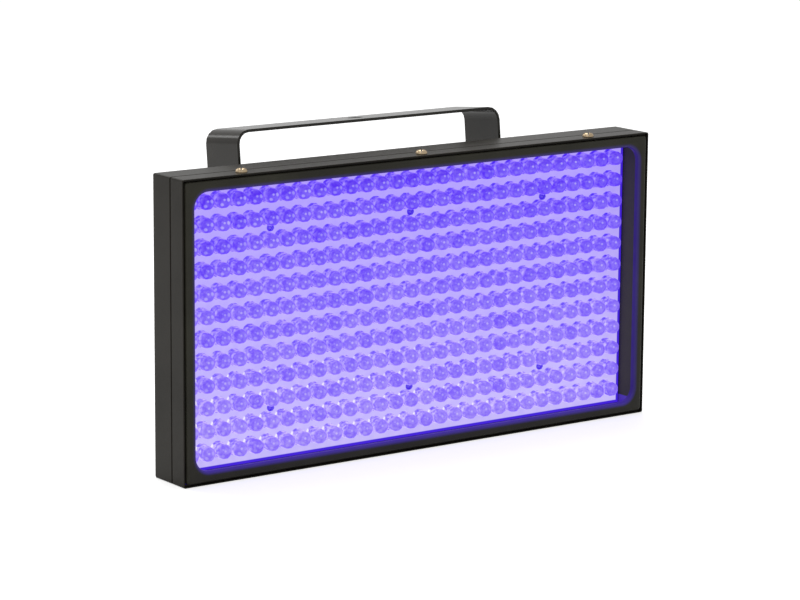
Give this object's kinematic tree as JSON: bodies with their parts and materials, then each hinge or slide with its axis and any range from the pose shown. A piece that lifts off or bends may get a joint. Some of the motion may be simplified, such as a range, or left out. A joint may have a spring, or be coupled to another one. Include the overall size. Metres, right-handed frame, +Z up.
{
  "type": "uv flood light",
  "caption": "Flat rectangular ultraviolet flood light: shallow steel casing filled with rows of domed LEDs, rear electronics housing and a tilting U bracket with clamp knobs.",
  "frame": {"origin": "middle of the rear housing's flat bottom face, which the light stands on", "axes": "+Z up, the LED window faces -Y, +X along the length of the casing, to the right seen from the front"},
  "size_m": [0.388, 0.1085, 0.2205],
  "materials": {
    "casing": "black powder coat, fine texture",
    "bezel": "satin black paint",
    "led_board": "clear domed LEDs lit violet on a white board",
    "screws": "yellow zinc plate",
    "knobs": "moulded, matt",
    "washers": "matt",
    "circuit": "green solder mask",
    "display": "smoked red, clear",
    "sockets": "moulded black",
    "contacts": "nickel plate",
    "supply": "varnished steel and wound copper",
    "fuse": "glass tube with metal ends"
  },
  "bodies": {
    "lamp": {"rear_casing": "casing", "front_frame": "casing", "window_bezel": "bezel", "led_board": "led_board", "top_screw_left": "screws", "top_screw_middle": "screws", "top_screw_right": "screws", "bottom_screw_left": "screws", "bottom_screw_middle": "screws", "bottom_screw_right": "screws", "board_screw_1": "screws", "board_screw_2": "screws", "board_screw_3": "screws", "board_screw_4": "screws", "board_screw_5": "screws", "board_screw_6": "screws", "housing_screw_1": "screws", "housing_screw_2": "screws", "housing_screw_3": "screws", "housing_screw_4": "screws", "rear_housing": "casing", "power_supply": "supply", "control_board": "circuit", "display_window": "display", "dmx_in_socket": "sockets", "dmx_pin_1": "contacts", "dmx_pin_2": "contacts", "dmx_pin_3": "contacts", "dmx_out_socket": "sockets", "mains_inlet": "sockets", "inlet_blade_line": "contacts", "inlet_blade_earth": "contacts", "inlet_blade_neutral": "contacts", "fuse_holder": "sockets", "fuse_link": "fuse", "lead_grommet": "washers", "pivot_bush_left": "screws", "pivot_bush_right": "screws", "friction_washer_left": "washers", "friction_washer_right": "washers"},
    "bracket": {"hanging_bracket": "casing"},
    "knob_left": {"knob_stud_left": "screws", "clamp_knob_left": "knobs"},
    "knob_right": {"knob_stud_right": "screws", "clamp_knob_right": "knobs"},
    "button_1": {"menu_button_1": "knobs"},
    "button_2": {"menu_button_2": "knobs"},
    "button_3": {"menu_button_3": "knobs"},
    "button_4": {"menu_button_4": "knobs"},
    "latch": {"dmx_out_latch": "contacts"},
    "cap": {"fuse_cap": "sockets"}
  },
  "joints": [
    {"name": "bracket_tilt", "type": "hinge", "parent": "lamp", "child": "bracket", "pos_m": [0, 0.0039, 0.1015], "axis": [-1, 0, 0], "range_deg": [-13, 178]},
    {"name": "knob_left_spin", "type": "hinge", "parent": "lamp", "child": "knob_left", "pos_m": [-0.1108, 0.0039, 0.1015], "axis": [-1, 0, 0], "continuous": true},
    {"name": "knob_right_spin", "type": "hinge", "parent": "lamp", "child": "knob_right", "pos_m": [0.1108, 0.0039, 0.1015], "axis": [1, 0, 0], "continuous": true},
    {"name": "button_1_press", "type": "slide", "parent": "lamp", "child": "button_1", "axis": [0, -1, 0], "range_m": [0, 0.001], "stiffness_N_per_m": 600},
    {"name": "button_2_press", "type": "slide", "parent": "lamp", "child": "button_2", "axis": [0, -1, 0], "range_m": [0, 0.001], "stiffness_N_per_m": 600},
    {"name": "button_3_press", "type": "slide", "parent": "lamp", "child": "button_3", "axis": [0, -1, 0], "range_m": [0, 0.001], "stiffness_N_per_m": 600},
    {"name": "button_4_press", "type": "slide", "parent": "lamp", "child": "button_4", "axis": [0, -1, 0], "range_m": [0, 0.001], "stiffness_N_per_m": 600},
    {"name": "latch_press", "type": "slide", "parent": "lamp", "child": "latch", "axis": [0, -1, 0], "range_m": [0, 0.0015], "stiffness_N_per_m": 800},
    {"name": "cap_turn", "type": "hinge", "parent": "lamp", "child": "cap", "pos_m": [-0.089, 0.0336, 0.0643], "axis": [0, 1, 0], "range_deg": [0, 90]}
  ]
}
